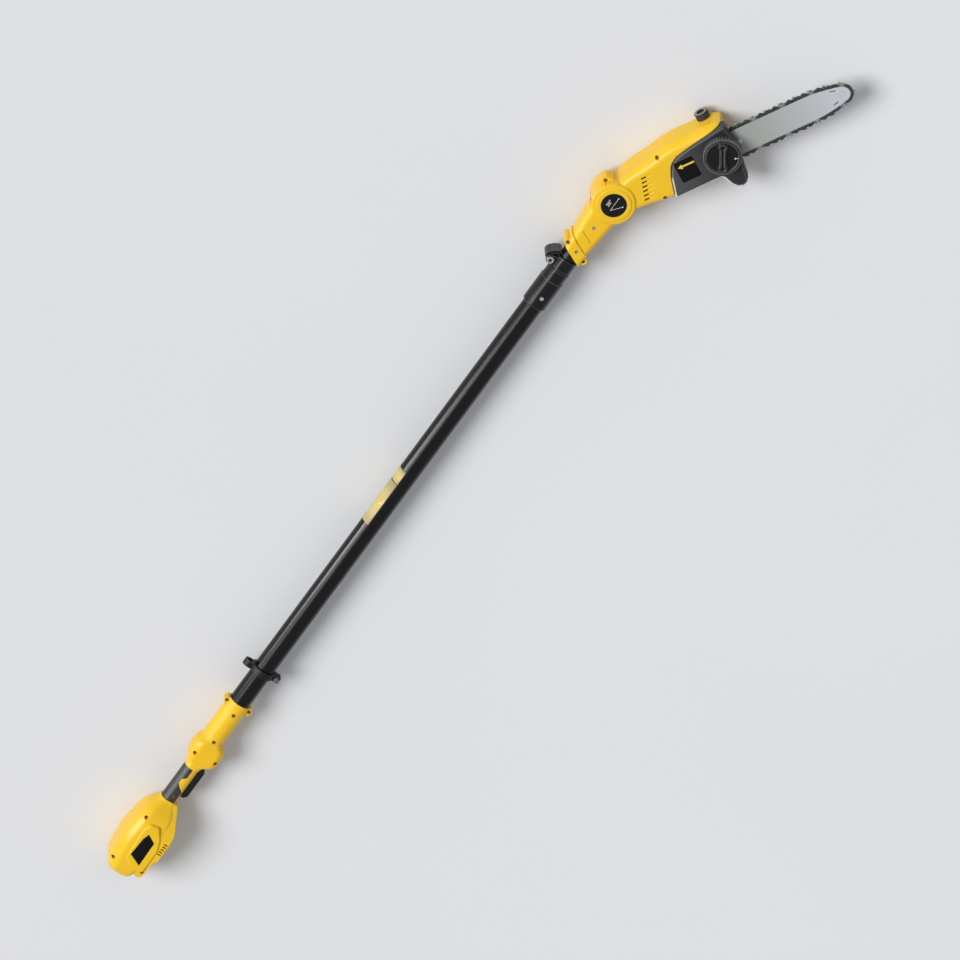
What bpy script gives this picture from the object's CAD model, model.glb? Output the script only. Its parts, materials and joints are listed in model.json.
# %% [markdown]
# A telescoping pole saw lies on a pale studio floor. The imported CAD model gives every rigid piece
# its place and size. This script dresses it: finishes for every surface, a fuller saw chain,
# labels and marks. Everything is in metres, in the frame of the CAD model.

# %% Load the fixed frame
import json
import math
import bmesh
import bpy
from mathutils import Matrix, Vector


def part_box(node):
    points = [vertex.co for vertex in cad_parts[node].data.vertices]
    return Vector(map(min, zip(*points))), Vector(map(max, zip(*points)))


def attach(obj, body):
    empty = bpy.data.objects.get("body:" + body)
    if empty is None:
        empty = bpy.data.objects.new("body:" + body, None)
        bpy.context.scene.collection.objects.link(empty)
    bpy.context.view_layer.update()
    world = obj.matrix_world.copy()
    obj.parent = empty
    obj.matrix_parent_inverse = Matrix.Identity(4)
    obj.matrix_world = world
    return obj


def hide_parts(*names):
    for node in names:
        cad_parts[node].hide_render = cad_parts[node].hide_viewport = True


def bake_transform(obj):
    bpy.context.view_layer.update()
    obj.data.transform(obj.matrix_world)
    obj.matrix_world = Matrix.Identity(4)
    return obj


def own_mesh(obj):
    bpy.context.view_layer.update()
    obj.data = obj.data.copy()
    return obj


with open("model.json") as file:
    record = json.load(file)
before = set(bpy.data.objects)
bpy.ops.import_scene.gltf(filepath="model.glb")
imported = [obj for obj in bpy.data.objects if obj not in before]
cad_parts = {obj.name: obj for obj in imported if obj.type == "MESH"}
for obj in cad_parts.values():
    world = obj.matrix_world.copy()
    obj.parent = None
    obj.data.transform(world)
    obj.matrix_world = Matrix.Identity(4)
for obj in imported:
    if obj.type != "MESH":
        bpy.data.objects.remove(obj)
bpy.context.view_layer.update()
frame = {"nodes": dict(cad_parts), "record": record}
node = frame["nodes"]

# %% [markdown]
# Measurements of a pole saw are easiest along its pole and along its bent head. Two helpers turn
# millimetres along the pole, or along the bar, into the shared frame. Their origins are read from
# the tube and from the pivot disc, so nothing has to be fitted by eye.

# %% Places along the pole and along the bar
MM = 0.001
TUBE_START = 296
HEAD_BEND = math.radians(30)

tube_low, tube_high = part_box("outer_tube")
disc_low, disc_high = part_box("pivot_disc")
pole_zero = Vector((
    tube_low.x - TUBE_START * MM,
    (tube_low.y + tube_high.y) / 2,
    (tube_low.z + tube_high.z) / 2))
pivot = Vector((
    (disc_low.x + disc_high.x) / 2,
    (disc_low.y + disc_high.y) / 2,
    pole_zero.z))
ALONG_POLE = Matrix.Translation(pole_zero)
ALONG_BAR = Matrix.Translation(pivot) @ Matrix.Rotation(-HEAD_BEND, 4, "Z")


def on_pole(x, y, z):
    """Point in the frame, from millimetres along the pole, up from it and out to the side."""
    return ALONG_POLE @ (Vector((x, y, z)) * MM)


def on_head(u, v, z):
    """Point in the frame, from millimetres along the bar, above its middle and out to the side."""
    return ALONG_BAR @ (Vector((u, v, z)) * MM)


print("pole starts at", [round(c, 4) for c in pole_zero])
print("head turns at", [round(c, 4) for c in pivot])

# %% [markdown]
# The camera looks down on the side with the guide bar, the pole running up to the right. Lines
# along the pole stay parallel in such a catalogue view, so the camera stands very far away with a
# very long lens. A short lens would make the near head look too big.

# %% Camera
TO_CAMERA = Vector((0.358, 0.289, 0.888)).normalized()
IMAGE_RIGHT = Vector((0.5549, -0.8307, 0.0459)).normalized()
FRAME_WIDTH = 1.536
CAMERA_DISTANCE = 60.0
SENSOR_WIDTH = 36
FARTHEST_SEEN = 300
AIM = on_pole(909.1, -103.9, 0)

camera_data = bpy.data.cameras.new("studio_camera")
camera_data.sensor_width = SENSOR_WIDTH
camera_data.lens = SENSOR_WIDTH * CAMERA_DISTANCE / FRAME_WIDTH
camera_data.clip_end = FARTHEST_SEEN
camera = bpy.data.objects.new("studio_camera", camera_data)
bpy.context.scene.collection.objects.link(camera)
right = (IMAGE_RIGHT - TO_CAMERA * IMAGE_RIGHT.dot(TO_CAMERA)).normalized()
up = TO_CAMERA.cross(right)
turn = Matrix((right, up, TO_CAMERA)).transposed().to_4x4()
camera.matrix_world = Matrix.Translation(AIM + TO_CAMERA * CAMERA_DISTANCE) @ turn
bpy.context.scene.camera = camera
bpy.context.scene.view_settings.view_transform = "Standard"
print("lens", round(camera_data.lens), "mm")

# %% [markdown]
# The light is plain and even: a soft sun from the tool's top side and a dim sky. A round black
# tube only looks glossy when something bright is mirrored along it, so a long strip lamp stands
# where the tube mirrors it into the camera. The strip shows in gloss alone and casts no shadow.

# %% Lamps
SUN_ENERGY = 2.45
SUN_SOFTNESS = math.radians(30)
SUN_PLACE = AIM + Vector((0, 2, 3))
TO_SUN = Vector((-0.1, 0.68, 0.72))
STRIP_ENERGY = 32
STRIP_LENGTH, STRIP_WIDTH = 1.5, 0.35
STRIP_DISTANCE = 3.0
GLEAM_X = 760
GLEAM_ANGLE = math.radians(44)


def aimed(name, lamp, place, direction):
    """Lamp at a place, shining against the given direction."""
    obj = bpy.data.objects.new(name, lamp)
    bpy.context.scene.collection.objects.link(obj)
    facing = direction.to_track_quat("Z", "X").to_matrix().to_4x4()
    obj.matrix_world = Matrix.Translation(place) @ facing
    return obj


def mirrored_from(normal):
    """Direction that a shiny spot with this normal mirrors into the camera."""
    out = Vector(normal).normalized()
    return 2 * out.dot(TO_CAMERA) * out - TO_CAMERA


sun = bpy.data.lights.new("soft_sun", "SUN")
sun.energy, sun.angle = SUN_ENERGY, SUN_SOFTNESS
aimed("soft_sun", sun, SUN_PLACE, TO_SUN)

strip = bpy.data.lights.new("strip_lamp", "AREA")
strip.shape, strip.energy = "RECTANGLE", STRIP_ENERGY
strip.size, strip.size_y = STRIP_LENGTH, STRIP_WIDTH
strip_way = mirrored_from((0, math.sin(GLEAM_ANGLE), math.cos(GLEAM_ANGLE)))
strip_place = on_pole(GLEAM_X, 0, 0) + strip_way * STRIP_DISTANCE
strip_lamp = aimed("strip_lamp", strip, strip_place, strip_way)
strip_lamp.visible_diffuse = False
print("lamps", [lamp.name for lamp in bpy.data.lights])

# %% [markdown]
# The floor is one large square at height zero, where the CAD model rests. It belongs to the stage
# and not to the saw. The sky is a little blue, as daylight from a window is.

# %% Floor and sky
FLOOR_HALF = 30
SKY_COLOUR = (0.93, 0.95, 1.0, 1)
SKY_STRENGTH = 0.42

corners = [(x * FLOOR_HALF, y * FLOOR_HALF, 0) for x, y in ((-1, -1), (1, -1), (1, 1), (-1, 1))]
floor_mesh = bpy.data.meshes.new("floor")
floor_mesh.from_pydata(corners, [], [(0, 1, 2, 3)])
floor = bpy.data.objects.new("floor", floor_mesh)
bpy.context.scene.collection.objects.link(floor)

world = bpy.data.worlds.new("studio_sky")
bpy.context.scene.world = world
world.use_nodes = True
sky = world.node_tree.nodes["Background"]
sky.inputs["Color"].default_value = SKY_COLOUR
sky.inputs["Strength"].default_value = SKY_STRENGTH
print("floor", 2 * FLOOR_HALF, "m wide, sky strength", SKY_STRENGTH)

# %% [markdown]
# Several finishes share the same small effects, and each effect is one node group. A few helpers
# keep the groups short: each adds one node, fills its inputs with sockets or plain values, and
# hands back its output.

# %% Helpers for node trees
def fill(tree, slot, value):
    """Link a socket to a node's input, or set a plain value on it."""
    if isinstance(value, bpy.types.NodeSocket):
        tree.links.new(value, slot)
    else:
        slot.default_value = value


def maths(tree, operation, *values, clamp=False):
    """Math node with sockets or plain numbers as its inputs."""
    made = tree.nodes.new("ShaderNodeMath")
    made.operation, made.use_clamp = operation, clamp
    for slot, value in zip(made.inputs, values):
        fill(tree, slot, value)
    return made.outputs[0]


def vector_maths(tree, operation, *values):
    """Vector Math node with sockets or plain directions as its inputs."""
    made = tree.nodes.new("ShaderNodeVectorMath")
    made.operation = operation
    for slot, value in zip(made.inputs, values):
        fill(tree, slot, value)
    return made.outputs["Value" if operation == "DOT_PRODUCT" else "Vector"]


def noise(tree, vector, scale, detail=3.0):
    made = tree.nodes.new("ShaderNodeTexNoise")
    for label, value in (("Vector", vector), ("Scale", scale), ("Detail", detail)):
        fill(tree, made.inputs[label], value)
    return made.outputs[0]


def own_coordinates(tree, kind="Object"):
    """Coordinates that stay with a piece when it moves."""
    return tree.nodes.new("ShaderNodeTexCoord").outputs[kind]


def shader_group(name, inputs, outputs):
    """Empty node group, with its input node and its output node."""
    group = bpy.data.node_groups.new(name, "ShaderNodeTree")
    for label, default in inputs:
        socket = group.interface.new_socket(
            label, in_out="INPUT", socket_type="NodeSocketFloat")
        socket.default_value = default
    for label, kind in outputs:
        group.interface.new_socket(label, in_out="OUTPUT", socket_type=kind)
    return group, group.nodes.new("NodeGroupInput"), group.nodes.new("NodeGroupOutput")


print("node groups so far", len(bpy.data.node_groups))

# %% [markdown]
# Moulded edges are never knife sharp. A bevel lookup softens them, and where its normal turns
# away from the face there must be an edge, which can then be worn. Noise breaks up the wear.

# %% Effect: worn edges
BEVEL_SAMPLES = 6
WEAR_SCALE = 260
LEAST_WEAR = 0.5

edge_group, put, got = shader_group(
    "edge_wear", [("Radius", 0.0008), ("Gain", 6.0)],
    [("Normal", "NodeSocketVector"), ("Edge", "NodeSocketFloat")])
bevel = edge_group.nodes.new("ShaderNodeBevel")
bevel.samples = BEVEL_SAMPLES
edge_group.links.new(put.outputs["Radius"], bevel.inputs["Radius"])
soft_normal = bevel.outputs["Normal"]
face_normal = edge_group.nodes.new("ShaderNodeNewGeometry").outputs["True Normal"]
facing = vector_maths(edge_group, "DOT_PRODUCT", soft_normal, face_normal)
patches = noise(edge_group, own_coordinates(edge_group), WEAR_SCALE)
broken = maths(edge_group, "ADD", patches, LEAST_WEAR)
turned = maths(edge_group, "SUBTRACT", 1.0, facing)
worn = maths(edge_group, "MULTIPLY", turned, put.outputs["Gain"])
edge_group.links.new(maths(edge_group, "MULTIPLY", worn, broken, clamp=True), got.inputs["Edge"])
edge_group.links.new(soft_normal, got.inputs["Normal"])
print("effect", edge_group.name, "with", len(edge_group.nodes), "nodes")

# %% [markdown]
# A fine grain gives moulded plastic its bloom, and a slow cloud keeps its colour from being flat.

# %% Effect: moulded grain
grain_group, put, got = shader_group(
    "moulded_grain", [("Grain", 2600.0), ("Cloud", 22.0)],
    [("Height", "NodeSocketFloat"), ("Cloud", "NodeSocketFloat")])
place = own_coordinates(grain_group)
for scale, result in (("Grain", "Height"), ("Cloud", "Cloud")):
    speckle = noise(grain_group, place, put.outputs[scale])
    grain_group.links.new(speckle, got.inputs[result])
print("effect", grain_group.name, "with", len(grain_group.nodes), "nodes")

# %% [markdown]
# Drawn tube and ground steel have fine lines along one direction. The coordinates are turned to
# that direction, then stretched far more across it than along it, and noise does the rest.

# %% Effect: drawn lines
LINE_DETAIL = 5.0

lines_group, put, got = shader_group(
    "drawn_lines", [("Turn", 0.0), ("Along", 12.0), ("Across", 2200.0)],
    [("Lines", "NodeSocketFloat")])
aligned = lines_group.nodes.new("ShaderNodeVectorRotate")
aligned.rotation_type = "Z_AXIS"
lines_group.links.new(own_coordinates(lines_group), aligned.inputs["Vector"])
lines_group.links.new(put.outputs["Turn"], aligned.inputs["Angle"])
scales = lines_group.nodes.new("ShaderNodeCombineXYZ")
for axis, label in zip("XYZ", ("Along", "Across", "Across")):
    lines_group.links.new(put.outputs[label], scales.inputs[axis])
stretched = vector_maths(lines_group, "MULTIPLY", aligned.outputs[0], scales.outputs[0])
lines_group.links.new(noise(lines_group, stretched, 1.0, LINE_DETAIL), got.inputs["Lines"])
print("effect", lines_group.name, "with", len(lines_group.nodes), "nodes")

# %% [markdown]
# Colours are laid over one another. A second colour can grow along a direction, as on the bar,
# whose ground steel goes from greenish grey at the cover to almost white at its nose. Another can
# lie on the faces that look one way, as on the pale slopes of the cover.

# %% Layers of colour
MIX_AMOUNT, MIX_FIRST, MIX_SECOND, MIX_RESULT = 0, 6, 7, 2
LIT_FADE = 0.08


def group_in(tree, group, **values):
    """Node group in a tree, with values set on its sockets."""
    made = tree.nodes.new("ShaderNodeGroup")
    made.node_tree = group
    for label, value in values.items():
        made.inputs[label].default_value = value
    return made


def blended(tree, amount, first, second):
    """Colour between two colours or sockets."""
    made = tree.nodes.new("ShaderNodeMix")
    made.data_type = "RGBA"
    fill(tree, made.inputs[MIX_AMOUNT], amount)
    for slot, colour in ((MIX_FIRST, first), (MIX_SECOND, second)):
        fill(tree, made.inputs[slot], (*colour, 1) if isinstance(colour, tuple) else colour)
    return made.outputs[MIX_RESULT]


def grown(tree, base, other, direction, start, near, far):
    """Base colour that gives way to another, from near to far metres beyond a point."""
    along = vector_maths(tree, "DOT_PRODUCT", own_coordinates(tree), direction)
    metres = maths(tree, "SUBTRACT", along, Vector(direction).dot(start))
    past = maths(tree, "SUBTRACT", metres, near)
    return blended(tree, maths(tree, "DIVIDE", past, far - near, clamp=True), base, other)


def lit_from(tree, base, other, direction, closeness):
    """Base colour that gives way to another on faces that look along a direction."""
    looks = vector_maths(tree, "DOT_PRODUCT", own_coordinates(tree, "Normal"),
                         Vector(direction).normalized())
    past = maths(tree, "SUBTRACT", looks, closeness)
    return blended(tree, maths(tree, "DIVIDE", past, LIT_FADE, clamp=True), base, other)


print("a face is fully lit within", LIT_FADE, "of the stated closeness")

# %% [markdown]
# Every finish is one function's work: a base colour that drifts a little, a worn colour on the
# edges, a roughness that drifts with it, and grain or drawn lines in the bump.

# %% How a finish is made
LINE_GAIN, LINE_LIFT = 0.8, 0.1
DRIFT_MIDDLE, ROUGH_DRIFT = 0.5, 0.16
COAT_ROUGHNESS = 0.08
BUMP_HEIGHT = 0.0002


def finish(name, colour, drift, worn, rough, metal=0.0, grain=2600.0, bump=0.05, edge=0.0008,
           gain=4.0, cloud=22.0, lines=None, coat=0.0, shine=0.5, second=None, lit=None):
    """Material for one finish. lines are the inputs of drawn lines. second and lit are what grown
    and lit_from need for one more colour."""
    made = bpy.data.materials.new(name)
    made.use_nodes = True
    tree = made.node_tree
    edges = group_in(tree, edge_group, Radius=edge, Gain=gain)
    moulded = group_in(tree, grain_group, Grain=grain, Cloud=cloud)
    height, drifted = moulded.outputs["Height"], moulded.outputs["Cloud"]
    if lines:
        drawn = group_in(tree, lines_group, **lines)
        height = drawn.outputs["Lines"]
        drifted = maths(tree, "MULTIPLY_ADD", height, LINE_GAIN, LINE_LIFT)
    base = blended(tree, drifted, colour, drift)
    if second:
        base = grown(tree, base, **second)
    base = blended(tree, edges.outputs["Edge"], base, worn)
    if lit:
        base = lit_from(tree, base, **lit)
    off_middle = maths(tree, "SUBTRACT", drifted, DRIFT_MIDDLE)
    spread = maths(tree, "MULTIPLY", off_middle, ROUGH_DRIFT)
    relief = tree.nodes.new("ShaderNodeBump")
    for label, value in (("Strength", bump), ("Distance", BUMP_HEIGHT), ("Height", height),
                         ("Normal", edges.outputs["Normal"])):
        fill(tree, relief.inputs[label], value)
    skin = tree.nodes["Principled BSDF"]
    for label, value in (
            ("Base Color", base), ("Roughness", maths(tree, "ADD", spread, rough, clamp=True)),
            ("Metallic", metal), ("Specular IOR Level", shine), ("Coat Weight", coat),
            ("Coat Roughness", COAT_ROUGHNESS), ("Normal", relief.outputs["Normal"])):
        fill(tree, skin.inputs[label], value)
    return made


print("a finish is built from", [group.name for group in bpy.data.node_groups])

# %% [markdown]
# The record names a material slot for every piece, and each slot gets its finish. The plastics
# come first: yellow shells, black mouldings, the soft grip, the grey cover and what is inside.

# %% Finishes of the plastic pieces
BAR_WAY = (math.cos(HEAD_BEND), -math.sin(HEAD_BEND), 0.0)
COVER_SLOPE = ALONG_BAR.to_3x3() @ Vector((-0.6, -0.5, 0.62))
PLASTIC_LOOKS = {
    "yellow_shell": dict(
        colour=(0.88, 0.51, 0.012), drift=(0.91, 0.58, 0.025), worn=(0.95, 0.68, 0.12),
        rough=0.28, bump=0.03, edge=0.0011, gain=1.6, shine=0.3),
    "black_plastic": dict(
        colour=(0.007, 0.007, 0.0075), drift=(0.012, 0.012, 0.013), worn=(0.12, 0.12, 0.12),
        rough=0.36, bump=0.12, edge=0.001, shine=0.25),
    "gloss_black_plastic": dict(
        colour=(0.004, 0.0045, 0.0045), drift=(0.007, 0.007, 0.0075), worn=(0.14, 0.14, 0.14),
        rough=0.25, bump=0.05, edge=0.001, shine=0.3),
    "soft_grip": dict(
        colour=(0.022, 0.022, 0.021), drift=(0.034, 0.034, 0.032), worn=(0.08, 0.08, 0.075),
        rough=0.36, grain=1500.0, bump=0.3, shine=0.6),
    "cover_grey": dict(
        colour=(0.062, 0.062, 0.064), drift=(0.08, 0.08, 0.083), worn=(0.34, 0.33, 0.36),
        rough=0.36, grain=3200.0, bump=0.08, edge=0.0034, gain=3.4, shine=0.3,
        second=dict(other=(0.022, 0.023, 0.024), direction=BAR_WAY, start=pivot,
                    near=0.11, far=0.2),
        lit=dict(other=(0.68, 0.67, 0.71), direction=COVER_SLOPE, closeness=0.67)),
    "natural_plastic": dict(
        colour=(0.7, 0.69, 0.6), drift=(0.78, 0.77, 0.7), worn=(0.85, 0.85, 0.8), rough=0.4),
    "circuit": dict(
        colour=(0.02, 0.12, 0.05), drift=(0.03, 0.16, 0.07), worn=(0.2, 0.3, 0.2), rough=0.35),
    "rubber_seal": dict(
        colour=(0.015, 0.015, 0.015), drift=(0.025, 0.025, 0.025), worn=(0.06, 0.06, 0.06),
        rough=0.7),
    "lead_rubber": dict(
        colour=(0.015, 0.015, 0.016), drift=(0.024, 0.024, 0.025), worn=(0.05, 0.05, 0.05),
        rough=0.6),
}
FINISHES = {slot: finish(slot, **look) for slot, look in PLASTIC_LOOKS.items()}
print("plastic finishes", len(FINISHES))

# %% [markdown]
# The metals follow. The tubes are black, with lines drawn along the pole. The bar's lines run
# along the bar, and its second colour lightens it towards the nose.

# %% Finishes of the metal pieces
POLE_LINES = dict(Turn=0.0, Along=9.0, Across=1500.0)
BAR_LINES = dict(Turn=HEAD_BEND, Along=14.0, Across=1900.0)
METAL_LOOKS = {
    "black_tube": dict(
        colour=(0.003, 0.0032, 0.003), drift=(0.006, 0.0062, 0.0057), worn=(0.03, 0.03, 0.03),
        rough=0.19, lines=POLE_LINES, bump=0.008, shine=0.28),
    "plain_tube": dict(
        colour=(0.006, 0.006, 0.0065), drift=(0.012, 0.012, 0.0125), worn=(0.1, 0.1, 0.1),
        rough=0.28, lines=POLE_LINES, bump=0.04, shine=0.3),
    "zinc_steel": dict(
        colour=(0.55, 0.55, 0.53), drift=(0.66, 0.66, 0.62), worn=(0.8, 0.8, 0.78),
        rough=0.34, metal=0.8, bump=0.08),
    "dark_steel": dict(
        colour=(0.05, 0.045, 0.042), drift=(0.09, 0.08, 0.075), worn=(0.3, 0.28, 0.26),
        rough=0.36, metal=0.8, bump=0.1, edge=0.0003),
    "bright_steel": dict(
        colour=(0.55, 0.55, 0.54), drift=(0.7, 0.7, 0.69), worn=(0.88, 0.88, 0.86),
        rough=0.28, metal=0.8, bump=0.06, edge=0.0003),
    "spring_steel": dict(
        colour=(0.4, 0.4, 0.4), drift=(0.5, 0.5, 0.49), worn=(0.7, 0.7, 0.7),
        rough=0.3, metal=0.9),
    "bar_steel": dict(
        colour=(0.35, 0.375, 0.345), drift=(0.43, 0.455, 0.425), worn=(0.7, 0.71, 0.7),
        rough=0.5, metal=0.2, lines=BAR_LINES, bump=0.05, edge=0.0003,
        second=dict(other=(0.6, 0.61, 0.65), direction=BAR_WAY, start=pivot,
                    near=0.26, far=0.40)),
    "contact_brass": dict(
        colour=(0.7, 0.5, 0.18), drift=(0.8, 0.6, 0.25), worn=(0.9, 0.75, 0.4),
        rough=0.25, metal=0.9),
    "motor_steel": dict(
        colour=(0.4, 0.4, 0.41), drift=(0.5, 0.5, 0.5), worn=(0.7, 0.7, 0.7),
        rough=0.35, metal=0.8),
}
FINISHES.update({slot: finish(slot, **look) for slot, look in METAL_LOOKS.items()})


def dress(name, material):
    """Give a CAD piece its finish."""
    for place in node[name].material_slots:
        place.material = material


for part in frame["record"]["subparts"]:
    dress(part["node"], FINISHES[part["material_slot"]])

# %% [markdown]
# Some pieces have a look of their own. Deep screws are rusty brown, and those flush in the neck
# turn grey at their heads. The ribs of the tension ring and the edges of the knob, the clamp and
# the oil cap catch the light.

# %% Pieces with a look of their own
SCREW_LOOK = dict(
    colour=(0.2, 0.07, 0.02), drift=(0.27, 0.105, 0.032), worn=(0.36, 0.2, 0.1),
    rough=0.4, metal=0.2, edge=0.0003)
HEAD_GREY = dict(
    other=(0.42, 0.4, 0.36), direction=(0.0, 0.0, 1.0), start=pole_zero, near=0.0170, far=0.0172)
clamp_black = finish(
    "clamp_black", (0.004, 0.004, 0.0043), (0.008, 0.008, 0.0085), (0.3, 0.3, 0.3),
    0.2, bump=0.05, edge=0.0013, gain=3.2, shine=0.34)
OWN_FINISH = {
    "oil_cap": finish(
        "cap_black", (0.007, 0.007, 0.0075), (0.012, 0.012, 0.013), (0.4, 0.39, 0.39),
        0.3, bump=0.08, edge=0.0006, gain=2.4, shine=0.3),
    "strap_ring_bolt": finish(
        "bolt_steel", (0.15, 0.15, 0.146), (0.21, 0.21, 0.205), (0.6, 0.6, 0.58),
        0.3, metal=0.6, bump=0.08, edge=0.0004),
    "tension_ring": finish(
        "ribbed_grey", (0.028, 0.028, 0.029), (0.045, 0.045, 0.047), (0.5, 0.5, 0.51),
        0.28, bump=0.08, edge=0.0012, gain=4.2),
    "lock_knob": finish(
        "knob_black", (0.005, 0.006, 0.006), (0.009, 0.01, 0.01), (0.3, 0.305, 0.305),
        0.27, bump=0.06, edge=0.0016, gain=3.6, shine=0.28),
    "clamp_collar": clamp_black,
    "clamp_lever": clamp_black,
    "collar_screw": FINISHES["bright_steel"],
    "handle_screws": finish("deep_screws", **SCREW_LOOK),
    "head_screws": finish("head_screw_steel", **SCREW_LOOK),
    "neck_screws": finish("neck_screw_steel", **SCREW_LOOK, second=HEAD_GREY),
}
for name, material in OWN_FINISH.items():
    dress(name, material)
print("pieces with a look of their own", len(OWN_FINISH))

# %% [markdown]
# The floor is matt and almost even. Only a slow cloud of two pale greys runs over it.

# %% Finish of the floor
FLOOR_ROUGHNESS = 0.85
FLOOR_GREYS = (0.74, 0.75, 0.76), (0.78, 0.78, 0.79)

pale_floor = bpy.data.materials.new("pale_floor")
pale_floor.use_nodes = True
ground = pale_floor.node_tree
clouds = group_in(ground, grain_group, Grain=300.0, Cloud=1.5).outputs["Cloud"]
ground_skin = ground.nodes["Principled BSDF"]
ground_skin.inputs["Roughness"].default_value = FLOOR_ROUGHNESS
ground.links.new(blended(ground, clouds, *FLOOR_GREYS), ground_skin.inputs["Base Color"])
floor_mesh.materials.append(pale_floor)
print("floor finish", floor_mesh.materials[0].name)

# %% [markdown]
# New pieces are all made the same way: a shape is filled with plates, turned into a mesh with its
# outside facing out, and given a finish, a material slot and the body that carries it. A plate is
# an outline with a small chamfer, which is how stamped links, printed labels and marks look.

# %% Helpers for new pieces
def make_mesh(name, shape):
    """Mesh of a finished shape."""
    bmesh.ops.recalc_face_normals(shape, faces=shape.faces)
    mesh = bpy.data.meshes.new(name)
    shape.to_mesh(mesh)
    shape.free()
    return mesh


def new_piece(name, mesh, material):
    """Object with one finish."""
    mesh.materials.clear()
    mesh.materials.append(material)
    made = bpy.data.objects.new(name, mesh)
    bpy.context.scene.collection.objects.link(made)
    return made


def add_piece(name, mesh, material, body):
    """Object with one finish that rides on a body."""
    made = new_piece(name, mesh, material)
    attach(made, body)
    return made


def in_metres(x, y, z):
    return Vector((x, y, z)) * MM


def add_band(shape, first, second):
    """Closed band of faces between two rings of points."""
    for n in range(len(first)):
        shape.faces.new((first[n - 1], first[n], second[n], second[n - 1]))


def add_plate(shape, outline, low, high, place=in_metres, chamfer=0.0):
    """Plate with an outline in millimetres. place turns its points into the frame."""
    middle = Vector((sum(x for x, _ in outline), sum(y for _, y in outline))) / len(outline)
    reach = max((Vector(point) - middle).length for point in outline)
    inset = 1 - chamfer / reach
    layers = [(low, 1), (high, 1)]
    if chamfer:
        layers = [(low, inset), (low + chamfer, 1), (high - chamfer, 1), (high, inset)]
    rings = []
    for z, share in layers:
        points = [middle + (Vector(point) - middle) * share for point in outline]
        rings.append([shape.verts.new(place(x, y, z)) for x, y in points])
    shape.faces.new(rings[0])
    shape.faces.new(rings[-1])
    for first, second in zip(rings, rings[1:]):
        add_band(shape, first, second)


# %% [markdown]
# A saw chain repeats the same three stampings: a drive link with a tang that runs in the bar's
# groove, a pair of tie straps with a low guard hump, and on every second pair a cutter with a
# tooth and a depth gauge in place of one strap. Each outline is drawn once, in millimetres from
# the middle between its two rivets. The straps that turn round the nose have no hump, so the saw
# gets no longer than it is.

# %% Outlines of the chain's links
RIVET_GAP = 6.35
HALF_GAP = RIVET_GAP / 2
END_R = 2.5
WAIST = (0, -1.9)


def arc(x, y, r, start, end, steps):
    """Points on part of a circle, angles in degrees."""
    angles = [math.radians(start + (end - start) * n / steps) for n in range(steps + 1)]
    return [(x + r * math.cos(a), y + r * math.sin(a)) for a in angles]


def dot(x, y, r):
    """Twelve points round a small circle."""
    return arc(x, y, r, 0, 330, 11)


STRAP = (arc(HALF_GAP, 0, END_R, -112, 75, 8)
         + [(2.7, 3.3), (1.7, 4), (-1.5, 4.2), (-2.7, 3.5)]
         + arc(-HALF_GAP, 0, END_R, 105, 292, 8) + [WAIST])
LOW_STRAP = [(x, min(y, END_R)) for x, y in STRAP]
DRIVE = (arc(HALF_GAP, 0, END_R, -65, 90, 7) + arc(-HALF_GAP, 0, END_R, 90, 245, 7)
         + [(-2.5, -3), (-1.9, -5), (-1, -6), (0.6, -6), (1.5, -5), (2.5, -3)])
GAUGE = [(5.1, 2.6), (4.55, 4), (3.8, 4.45), (2.7, 4.35)]
GULLET = [(2, 3.7), (1.5, 2.8), (1, 2.2), (0.3, 2), (-0.3, 2.3), (-0.6, 3.1)]
TOOTH = [(-0.65, 4.2), (-0.8, 5.3), (-2.6, 5.5), (-5.1, 5.55), (-5.4, 4.4)]
CUTTER = (arc(HALF_GAP, 0, END_R, -112, 20, 6) + GAUGE + GULLET + TOOTH
          + arc(-HALF_GAP, 0, END_R, 170, 292, 6) + [WAIST])
CUTTER_TOP = [(-5.1, 4.7), (-0.95, 4.3), (-0.7, 5.3), (-5.1, 5.55)]
print("points: strap", len(STRAP), "drive link", len(DRIVE), "cutter", len(CUTTER))

# %% [markdown]
# The outlines become small plates. A drive link lies in the middle, a strap or a cutter on either
# side of it. A cutter also has a top plate, bent across the chain, which does the cutting. The
# rivet goes through all of them.

# %% Shapes of the chain's links
DRIVE_HALF = 0.65
STRAP_NEAR, STRAP_FAR = 0.7, 1.7
TOP_REACH = 1.2
RIVET_R, RIVET_HALF = 1.6, 2
LINK_CHAMFER, STRAP_CHAMFER, TOP_CHAMFER, RIVET_CHAMFER = 0.2, 0.25, 0.1, 0.35


def plates(name, *layers):
    """Mesh of one or more plates: outline, two sides in any order and chamfer."""
    shape = bmesh.new()
    for outline, near, far, chamfer in layers:
        add_plate(shape, outline, min(near, far), max(near, far), chamfer=chamfer)
    return make_mesh(name, shape)


def drive_link():
    return plates("drive_link", (DRIVE, -DRIVE_HALF, DRIVE_HALF, LINK_CHAMFER))


def tie_strap(side, outline):
    return plates("tie_strap", (outline, side * STRAP_NEAR, side * STRAP_FAR, STRAP_CHAMFER))


def cutter_link(side):
    return plates("cutter_link", (CUTTER, side * STRAP_NEAR, side * STRAP_FAR, LINK_CHAMFER),
                  (CUTTER_TOP, -side * TOP_REACH, side * STRAP_NEAR, TOP_CHAMFER))


def link_rivet():
    return plates("link_rivet", (dot(0, 0, RIVET_R), -RIVET_HALF, RIVET_HALF, RIVET_CHAMFER))


print("chain is", 2 * RIVET_HALF, "mm wide over its rivets")

# %% [markdown]
# The links are laid where the CAD model has them. The middle of every solid of the rivet node
# gives the path, in order round the bar, and the line from one rivet to the next gives each link
# its direction.

# %% Path of the chain
SAME_POINT = 1e-6


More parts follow.
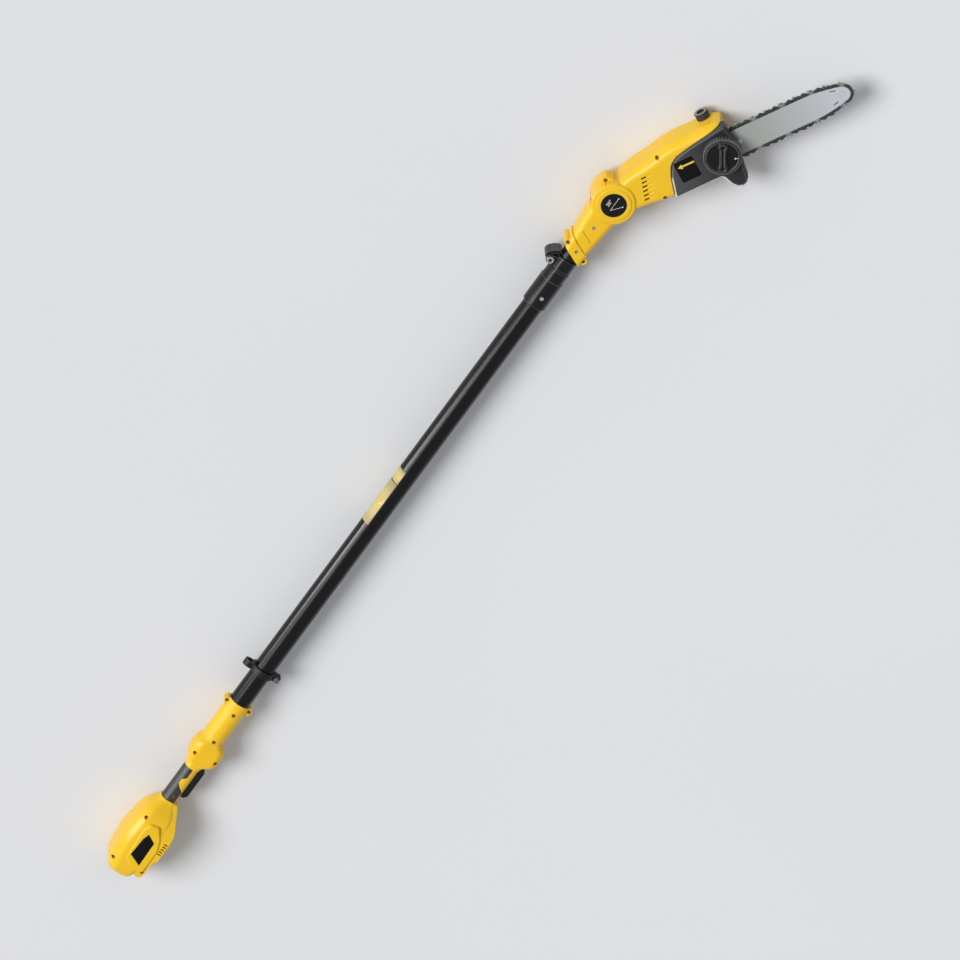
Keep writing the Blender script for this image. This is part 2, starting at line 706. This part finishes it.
def joined_copy(name):
    """Shape of a CAD node, with points that lie on one another made one."""
    shape = bmesh.new()
    shape.from_mesh(node[name].data)
    bmesh.ops.remove_doubles(shape, verts=shape.verts, dist=SAME_POINT)
    return shape


def solid_middles(name):
    """Middle of each separate solid of a CAD node."""
    shape = joined_copy(name)
    waiting = set(shape.verts)
    middles = []
    while waiting:
        found, edge = [], [waiting.pop()]
        while edge:
            here = edge.pop()
            found.append(here.co.copy())
            for line in here.link_edges:
                other = line.other_vert(here)
                if other in waiting:
                    waiting.discard(other)
                    edge.append(other)
        low = Vector([min(c[k] for c in found) for k in range(3)])
        high = Vector([max(c[k] for c in found) for k in range(3)])
        middles.append((low + high) / 2)
    shape.free()
    return middles


rivets = solid_middles("chain_rivets")
loop_middle = sum(rivets, Vector()) / len(rivets)
to_bar = ALONG_BAR.inverted()


def clockwise(point):
    away = (to_bar @ point) - (to_bar @ loop_middle)
    return -math.atan2(away.y, away.x)


rivets.sort(key=clockwise)
pairs = [(rivets[n - 1], rivets[n]) for n in range(len(rivets))]
print("rivets", len(rivets))

# %% [markdown]
# Every second pair of rivets carries a drive link, the others carry straps. The middles of the
# CAD model's drive links tell which pairs are which. The cutters' middles tell which straps they
# stand in for, and on which side.

# %% Which link goes where
NOSE_FROM = 385.0
CUTTER_REACH = 0.6 * RIVET_GAP * MM


def halfway(pair):
    return (pair[0] + pair[1]) / 2


def nearest(point, others):
    return min((point - other).length for other in others)


def cutter_side(pair):
    """1 or -1 for the side of the cutter on a pair of straps, 0 for none."""
    close = min(cutters, key=lambda c: (c - halfway(pair)).length)
    if (close - halfway(pair)).length > CUTTER_REACH:
        return 0
    return 1 if close.z > loop_middle.z else -1


def strap_outline(pair):
    """Humped strap along the bar, plain strap round its nose."""
    return LOW_STRAP if (to_bar @ halfway(pair)).x > NOSE_FROM * MM else STRAP


drives = solid_middles("chain_drive_links")
cutters = solid_middles("chain_cutters")
odd = nearest(halfway(pairs[1]), drives) < nearest(halfway(pairs[0]), drives)
drive_pairs, strap_pairs = pairs[odd::2], pairs[1 - odd::2]
sides = [cutter_side(pair) for pair in strap_pairs]
print("drive links", len(drive_pairs), "cutters", sum(1 for s in sides if s))

# %% [markdown]
# A Geometry Nodes tree takes points with a turn stored on each, a piece and its finish. It sets
# one instance on every point and makes them real, because instances don't survive an export.

# %% Tree that lays pieces on points
lay_tree = bpy.data.node_groups.new("pieces_along_path", "GeometryNodeTree")
SOCKETS = {}
for label, kind in (("Points", "NodeSocketGeometry"), ("Piece", "NodeSocketObject"),
                    ("Finish", "NodeSocketMaterial")):
    socket = lay_tree.interface.new_socket(label, in_out="INPUT", socket_type=kind)
    SOCKETS[label] = socket.identifier
lay_tree.interface.new_socket("Pieces", in_out="OUTPUT", socket_type="NodeSocketGeometry")
put, got = lay_tree.nodes.new("NodeGroupInput"), lay_tree.nodes.new("NodeGroupOutput")
taken = lay_tree.nodes.new("GeometryNodeObjectInfo")
turned = lay_tree.nodes.new("GeometryNodeInputNamedAttribute")
turned.data_type = "FLOAT_VECTOR"
turned.inputs["Name"].default_value = "turn"
euler = lay_tree.nodes.new("FunctionNodeEulerToRotation")
laid = lay_tree.nodes.new("GeometryNodeInstanceOnPoints")
real = lay_tree.nodes.new("GeometryNodeRealizeInstances")
painted = lay_tree.nodes.new("GeometryNodeSetMaterial")
for first, second in (
        (put.outputs["Points"], laid.inputs["Points"]),
        (put.outputs["Piece"], taken.inputs["Object"]),
        (taken.outputs["Geometry"], laid.inputs["Instance"]),
        (turned.outputs["Attribute"], euler.inputs[0]),
        (euler.outputs[0], laid.inputs["Rotation"]),
        (laid.outputs[0], real.inputs[0]),
        (real.outputs[0], painted.inputs["Geometry"]),
        (put.outputs["Finish"], painted.inputs["Material"]),
        (painted.outputs[0], got.inputs[0])):
    lay_tree.links.new(first, second)
print("inputs of the tree", list(SOCKETS))

# %% [markdown]
# Each kind of link is laid by the tree and turned into a plain mesh. One helper does that for any
# piece, and another finds the middle and the direction of each pair of rivets.

# %% Laying the links
def laid_mesh(name, template, places, turns, material):
    """Mesh with one copy of a template on every place, turned about Z."""
    pattern = bpy.data.objects.new(name + "_pattern", template)
    points = bpy.data.meshes.new(name + "_points")
    points.from_pydata(places, [], [])
    turn_data = points.attributes.new("turn", "FLOAT_VECTOR", "POINT")
    for spot, angle in zip(turn_data.data, turns):
        spot.vector = (0, 0, angle)
    carrier = bpy.data.objects.new(name + "_points", points)
    bpy.context.scene.collection.objects.link(carrier)
    modifier = carrier.modifiers.new("lay", "NODES")
    modifier.node_group = lay_tree
    modifier[SOCKETS["Piece"]], modifier[SOCKETS["Finish"]] = pattern, material
    ready = carrier.evaluated_get(bpy.context.evaluated_depsgraph_get())
    mesh = bpy.data.meshes.new_from_object(ready)
    bpy.data.objects.remove(carrier)
    bpy.data.objects.remove(pattern)
    return mesh


def direction(pair):
    along = pair[1] - pair[0]
    return math.atan2(along.y, along.x)


def laid_links(name, template, chosen, material):
    """Mesh with one link on every chosen pair of rivets."""
    return laid_mesh(name, template, [halfway(p) for p in chosen],
                     [direction(p) for p in chosen], material)


def joined(name, meshes):
    shape = bmesh.new()
    for mesh in meshes:
        shape.from_mesh(mesh)
    return make_mesh(name, shape)


print("links to lay", len(pairs), "and rivets", len(rivets))

# %% [markdown]
# The links are dark and worn bright at their edges, and the cutters are chromed. When the bar
# slides out to tighten the chain, the links at the sprocket stay and those on the bar go with it,
# so each mesh is blended from the head to the bar.

# %% The chain itself
chain_steel = finish(
    "chain_steel", (0.045, 0.047, 0.044), (0.11, 0.112, 0.105), (0.4, 0.4, 0.38),
    0.36, metal=0.75, cloud=160.0, bump=0.12, edge=0.00025, gain=5.0)
cutter_chrome = finish(
    "cutter_chrome", (0.34, 0.343, 0.335), (0.5, 0.5, 0.485), (0.85, 0.85, 0.82),
    0.3, metal=0.6, cloud=160.0, bump=0.08, edge=0.00025, gain=5.0)


def straps(side, outline):
    """Mesh of the straps of one outline on one side, apart from where a cutter stands."""
    chosen = [p for p, s in zip(strap_pairs, sides) if s != side and strap_outline(p) is outline]
    return laid_links("tie_straps", tie_strap(side, outline), chosen, chain_steel)


def side_cutters(side):
    """Mesh of the cutters on one side."""
    chosen = [p for p, s in zip(strap_pairs, sides) if s == side]
    return laid_links("cutters", cutter_link(side), chosen, cutter_chrome)


CHAIN = (
    ("chain_drive_links", chain_steel, "dark_steel",
     [laid_links("drive_links", drive_link(), drive_pairs, chain_steel)]),
    ("chain_tie_straps", chain_steel, "dark_steel",
     [straps(side, outline) for side in (-1, 1) for outline in (STRAP, LOW_STRAP)]),
    ("chain_cutters", cutter_chrome, "bright_steel", [side_cutters(side) for side in (-1, 1)]),
    ("chain_rivets", chain_steel, "dark_steel",
     [laid_mesh("rivets", link_rivet(), rivets, [0.0] * len(rivets), chain_steel)]),
)
for cad_name, material, slot, meshes in CHAIN:
    name = "laid_" + cad_name
    made = new_piece(name, joined(name, meshes), material)
    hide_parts(cad_name)
    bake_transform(made)
    print(made.name, len(made.data.polygons), "faces")

# %% [markdown]
# Three push springs sit under the trigger and the two buttons. A rigid spring would be cut by what
# presses on it, so each is a copy of the CAD coil that shortens with its joint, towards the end
# that stays put. The last number is the share of its length that is left when fully pressed.

# %% Springs that shorten
SPRINGS = (
    ("trigger_spring", "handle", "trigger_pull", (0, 1, 0), 0.3),
    ("lock_off_spring", "handle", "lock_off_press", (0, 0, 1), 0.66),
    ("tilt_button_spring", "head", "tilt_press", (0, 0, 1), 0.6),
)
for cad_name, body, joint, way, keep in SPRINGS:
    name = "pressed_" + cad_name
    coil = make_mesh(name, joined_copy(cad_name))
    made = add_piece(name, coil, FINISHES["spring_steel"], body)
    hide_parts(cad_name)
    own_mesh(made)
    print(made.name, len(made.data.polygons), "faces")

# %% [markdown]
# Flat marks finish the surfaces. All are thin plates that lie on what carries them. A mark is one
# or more outlines in millimetres, along the bar, along the pole or round the pivot, and it has an
# ink or a film for its finish.

# %% Helpers and inks for marks
FILM, INK, THIN_INK, STAIN = 0.12, 0.06, 0.05, 0.04
label_black = finish(
    "label_black", (0.002, 0.002, 0.0022), (0.004, 0.004, 0.0043), (0.02, 0.02, 0.02),
    0.35, bump=0.03, edge=0.0002, shine=0.2)
print_yellow = finish("print_yellow", (0.85, 0.55, 0.02), (0.9, 0.62, 0.05), (0.9, 0.65, 0.1),
                      0.4, edge=0.0001)
print_pale = finish("print_pale", (0.8, 0.78, 0.6), (0.86, 0.84, 0.7), (0.9, 0.9, 0.8),
                    0.4, edge=0.0001)
print_white = finish("print_white", (0.86, 0.86, 0.83), (0.9, 0.9, 0.88), (0.92, 0.92, 0.9),
                     0.4, edge=0.0001)
slot_dark = finish("slot_dark", (0.012, 0.012, 0.013), (0.02, 0.02, 0.021), (0.05, 0.05, 0.05),
                   0.5, edge=0.0001)


def mark(name, outlines, z, place, thick, material, body):
    """Flat print of one or more outlines on a face at height z."""
    shape = bmesh.new()
    for outline in outlines:
        add_plate(shape, outline, z, z + thick, place)
    made = add_piece(name, make_mesh(name, shape), material, body)
    print(made.name, "on", body)


def stroke(x0, y0, x1, y1, half):
    """Outline of a line with round ends."""
    angle = math.degrees(math.atan2(y1 - y0, x1 - x0))
    return (arc(x1, y1, half, angle - 90, angle + 90, 6)
            + arc(x0, y0, half, angle + 90, angle + 270, 6))


print("inks for marks, in mm", FILM, INK, THIN_INK, STAIN)

# %% [markdown]
# The sprocket cover has a black field with cut corners, and on it the arrow for the chain's
# direction. The pivot disc has two lines that open like the bent head.

# %% Marks on the cover and on the pivot disc
COVER_TOP = 28.0
FIELD_LEFT, FIELD_RIGHT, FIELD_LOW, FIELD_HIGH = 115, 148, -18, 20
CUT = 1.5
COVER_FIELD = [
    (FIELD_LEFT, FIELD_LOW + CUT), (FIELD_LEFT + CUT, FIELD_LOW),
    (FIELD_RIGHT - CUT, FIELD_LOW), (FIELD_RIGHT, FIELD_LOW + CUT),
    (FIELD_RIGHT, FIELD_HIGH - CUT), (FIELD_RIGHT - CUT, FIELD_HIGH),
    (FIELD_LEFT + CUT, FIELD_HIGH), (FIELD_LEFT, FIELD_HIGH - CUT)]
ARROW = [(147, 7.6), (147, 10.8), (126, 10.8), (126, 13.6), (118.5, 9.2), (126, 4.8), (126, 7.6)]
mark("cover_field", [COVER_FIELD], COVER_TOP, on_head, FILM,
     label_black, "head")
mark("cover_arrow", [ARROW], COVER_TOP + FILM, on_head, THIN_INK,
     print_yellow, "head")

DISC_TOP = 33.4
CORNER_X = -11
LEVEL_END, LEVEL_DOT = 13.5, 13.8
SLOPE_LENGTH, SLOPE_ANGLE = 21, math.radians(-40)
LINE_HALF = 0.32
DOT_R = 1.2


def on_disc(x, y, z):
    return pivot + Vector((x, y, z)) * MM


far_x = CORNER_X + SLOPE_LENGTH * math.cos(SLOPE_ANGLE)
far_y = SLOPE_LENGTH * math.sin(SLOPE_ANGLE)
mark("angle_lines",
     [stroke(CORNER_X, 0, LEVEL_END, 0, LINE_HALF), stroke(CORNER_X, 0, far_x, far_y, LINE_HALF),
      dot(LEVEL_DOT, 0, DOT_R), dot(far_x, far_y, DOT_R)],
     DISC_TOP, on_disc, INK, print_pale, "head")

# %% [markdown]
# The knob has a dot with a short dash, the bar has two slots near its nose and a white pointer
# beside the cover, and the lever's pin has a hexagon socket.

# %% Marks on the knob, the bar and the lever's pin
DIAL_TOP = 40.6
BAR_TOP = 12.6
KNOB_MARKS = [dot(210, -11.5, 1.5), stroke(212.2, -12.2, 214, -12.8, 0.5)]
NOSE_SLOTS = [stroke(391, 12.6, 399, 10.4, 0.8), stroke(386.5, -11.7, 394.5, -9.5, 0.8)]
POINTER = [(222.4, 2.2), (229.2, 2.2), (226.2, -6)]
PIN_X, PIN_Y, PIN_TOP = 1303, 25.5, 15.5
SOCKET_R = 3.2
mark("knob_dot", KNOB_MARKS, DIAL_TOP, on_head, INK,
     print_pale, "lock_knob")
mark("nose_slots", NOSE_SLOTS, BAR_TOP, on_head, STAIN, slot_dark, "bar")
mark("bar_pointer", [POINTER], BAR_TOP, on_head, INK, print_white, "bar")
mark("pin_socket", [arc(PIN_X, PIN_Y, SOCKET_R, 0, 300, 5)], PIN_TOP, on_pole, STAIN,
     slot_dark, "handle")

# %% [markdown]
# The oil cap's top has a lighter ring. It is a low closed band with sloping sides, round the
# middle of the cap.

# %% Ring on the oil cap
CAP_U, CAP_V, CAP_Z = 187, 62.1, -18.5
CAP_STEPS = 48
CAP_RIMS = ((7.2, 0), (10.2, 0), (10.0, 0.25), (7.4, 0.25))


def on_cap(x, y, z):
    return on_head(CAP_U + x, CAP_V + z, CAP_Z - y)


cap_grey = finish("cap_grey", (0.24, 0.235, 0.23), (0.32, 0.315, 0.31), (0.6, 0.6, 0.6),
                  0.4, bump=0.08, edge=0.0004)
cap_shape = bmesh.new()
last_step = 360 - 360 / CAP_STEPS
rims = [[cap_shape.verts.new(on_cap(x, y, z))
         for x, y in arc(0, 0, r, 0, last_step, CAP_STEPS - 1)] for r, z in CAP_RIMS]
for first, second in zip(rims, rims[1:] + rims[:1]):
    add_band(cap_shape, first, second)
cap_ring = add_piece("cap_top_ring", make_mesh("cap_top_ring", cap_shape), cap_grey, "oil_cap")
print(cap_ring.name, len(cap_ring.data.polygons), "faces")

# %% [markdown]
# The reading beside the angle lines is real lettering: a text curve with a little depth, turned
# into a mesh and moved onto the disc.

# %% Reading on the pivot disc
READING_SIZE = 9
READING_HALF = 0.03
READING_X, READING_Y = -7, 5.4

reading = bpy.data.curves.new("angle_reading", "FONT")
reading.body = "30°"
reading.size, reading.extrude = READING_SIZE * MM, READING_HALF * MM
reading_object = bpy.data.objects.new("angle_reading_curve", reading)
bpy.context.scene.collection.objects.link(reading_object)
ready = reading_object.evaluated_get(bpy.context.evaluated_depsgraph_get())
reading_mesh = bpy.data.meshes.new_from_object(ready)
bpy.data.objects.remove(reading_object)
reading_place = on_disc(READING_X, READING_Y, DISC_TOP + READING_HALF)
reading_mesh.transform(Matrix.Translation(reading_place))
add_piece("angle_reading", reading_mesh, print_pale, "head")
print("reading", len(reading_mesh.polygons), "faces")

# %% [markdown]
# The housing carries a black field in its moulded recess, and the tube a pale wrap-round label in
# two plain fields. Both are left without print.

# %% Labels on the handle and on the tube
LAND_TOP = 39.2
HOUSING_FILM = 0.35
HOUSING_FIELD = [(62.4, 7.3), (95.6, 5.4), (107, 2), (97.6, -13.9), (52, -14.9)]
mark("housing_field", [HOUSING_FIELD], LAND_TOP, on_pole, HOUSING_FILM,
     label_black, "handle")

label_paper = finish(
    "label_paper", (0.62, 0.45, 0.10), (0.72, 0.56, 0.18), (0.8, 0.65, 0.3),
    0.28, cloud=60.0, edge=0.0002, coat=0.15, shine=0.3)
TUBE_R = 17.5
LABEL_LIFTS = 0.02, 0.1
LABEL_FROM, LABEL_TO = 27, 153
LABEL_STEPS = 36
LABEL_FIELDS = ((752, 836), (837.5, 862))


def wrapped_label(shape, x0, x1):
    """Thin closed skin round the tube's top, between two places along it."""
    rings = []
    for x in (x0, x1):
        for lift in LABEL_LIFTS:
            points = arc(0, 0, TUBE_R + lift, LABEL_FROM, LABEL_TO, LABEL_STEPS)
            rings.append([shape.verts.new(on_pole(x, y, z)) for z, y in points])
    inner_a, outer_a, inner_b, outer_b = rings
    for first, second in ((outer_a, outer_b), (inner_b, inner_a), (inner_a, outer_a),
                          (outer_b, inner_b)):
        for n in range(LABEL_STEPS):
            shape.faces.new((first[n], first[n + 1], second[n + 1], second[n]))
    for n in (0, LABEL_STEPS):
        shape.faces.new((inner_a[n], outer_a[n], outer_b[n], inner_b[n]))


label_shape = bmesh.new()
for field in LABEL_FIELDS:
    wrapped_label(label_shape, *field)
tube_label = add_piece("tube_label", make_mesh("tube_label", label_shape), label_paper, "handle")
for face in tube_label.data.polygons:
    face.use_smooth = True
print(tube_label.name, len(tube_label.data.polygons), "faces")
